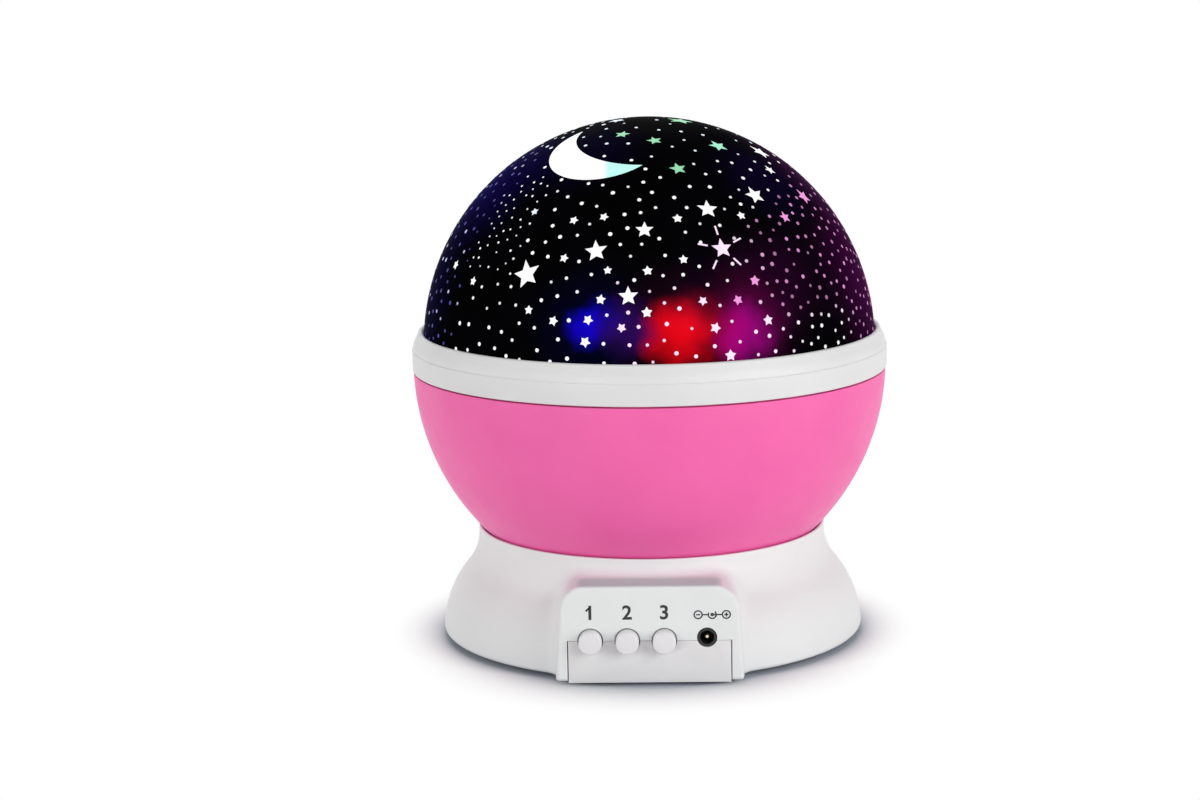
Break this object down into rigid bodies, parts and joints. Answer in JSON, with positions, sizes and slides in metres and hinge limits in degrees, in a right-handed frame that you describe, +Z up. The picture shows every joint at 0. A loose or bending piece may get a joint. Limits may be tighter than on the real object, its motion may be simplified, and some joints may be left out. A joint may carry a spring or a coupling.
{
  "type": "star night light projector",
  "caption": "Round night light: black star dome with a white ring on a turning pink bowl, on a flared white base with buttons, a power socket and a cell bay.",
  "frame": {"origin": "on the floor under the axis that the globe turns about, at the bottom of the rubber feet", "axes": "+Z up along the globe's axis; the control panel faces -Y; +X is to the right of a person facing the panel"},
  "size_m": [0.125, 0.125, 0.1367],
  "materials": {
    "white_shell": "glossy moulded white plastic with a faint orange-peel surface",
    "pink_shell": "semi-gloss moulded pink plastic",
    "printed_dome": "clear plastic printed glossy black, with star windows that glow",
    "keycap": "smooth white plastic",
    "deck_white": "matt white reflector plastic",
    "acetal": "natural acetal, slightly waxy",
    "black_plastic": "black moulded plastic",
    "foot_rubber": "dark grey matt rubber",
    "screw_steel": "zinc-plated steel",
    "spring_steel": "nickel-plated spring steel",
    "motor_steel": "plated steel can",
    "pin_brass": "bright plated brass",
    "board_green": "green solder mask",
    "board_white": "white solder mask",
    "lens_warm": "clear epoxy, warm white lamp",
    "lens_blue": "blue epoxy lamp",
    "lens_red": "red epoxy lamp",
    "lens_pink": "pink epoxy lamp",
    "lens_green": "green epoxy lamp",
    "lead_white": "soft white cable jacket",
    "lead_red": "soft red wire insulation"
  },
  "bodies": {
    "base": {"base_shell": "white_shell", "bottom_cover": "white_shell", "rubber_feet": "foot_rubber", "cover_screws": "screw_steel", "control_board": "board_green", "switch_bodies": "black_plastic", "dc_jack": "black_plastic", "jack_pin": "pin_brass", "gear_motor": "motor_steel", "motor_screws": "screw_steel", "lamp_post": "deck_white", "post_screws": "screw_steel", "thrust_washer": "acetal", "retaining_clip": "spring_steel", "lamp_holder": "deck_white", "lamp_board": "board_white", "led_warm": "lens_warm", "led_blue": "lens_blue", "led_red": "lens_red", "led_pink": "lens_pink", "led_green": "lens_green", "contact_plates": "spring_steel", "cell_springs": "spring_steel", "lamp_lead": "lead_white", "motor_lead": "lead_red", "cell_lead": "lead_red"},
    "globe": {"bowl": "pink_shell", "inner_deck": "deck_white", "globe_gear": "acetal", "gear_screws": "screw_steel"},
    "dome": {"star_dome": "printed_dome", "dome_ring": "white_shell", "dome_clamp": "white_shell"},
    "pinion": {"drive_pinion": "acetal", "motor_shaft": "motor_steel"},
    "button_1": {"button_cap_1": "keycap", "plunger_1": "black_plastic"},
    "button_2": {"button_cap_2": "keycap", "plunger_2": "black_plastic"},
    "button_3": {"button_cap_3": "keycap", "plunger_3": "black_plastic"},
    "battery_door": {"cell_door": "white_shell"}
  },
  "joints": [
    {"name": "globe_spin", "type": "hinge", "parent": "base", "child": "globe", "pos_m": [0, 0, 0.025], "axis": [0, 0, 1], "continuous": true},
    {"name": "dome_lift", "type": "slide", "parent": "globe", "child": "dome", "axis": [0, 0, 1], "range_m": [0, 0.05]},
    {"name": "pinion_spin", "type": "hinge", "parent": "base", "child": "pinion", "pos_m": [0.0345, 0, 0.022], "axis": [0, 0, 1], "continuous": true},
    {"name": "door_swing", "type": "hinge", "parent": "base", "child": "battery_door", "pos_m": [0, 0.0344, 0.002], "axis": [1, 0, 0], "range_deg": [0, 75]},
    {"name": "button_1_press", "type": "slide", "parent": "base", "child": "button_1", "axis": [0, 1, 0], "range_m": [0, 0.0015], "stiffness_N_per_m": 700, "springref_m": -0.0004},
    {"name": "button_2_press", "type": "slide", "parent": "base", "child": "button_2", "axis": [0, 1, 0], "range_m": [0, 0.0015], "stiffness_N_per_m": 700, "springref_m": -0.0004},
    {"name": "button_3_press", "type": "slide", "parent": "base", "child": "button_3", "axis": [0, 1, 0], "range_m": [0, 0.0015], "stiffness_N_per_m": 700, "springref_m": -0.0004}
  ],
  "couplings": [
    {"joint": "pinion_spin", "follows": "globe_spin", "ratio": -4.75}
  ]
}
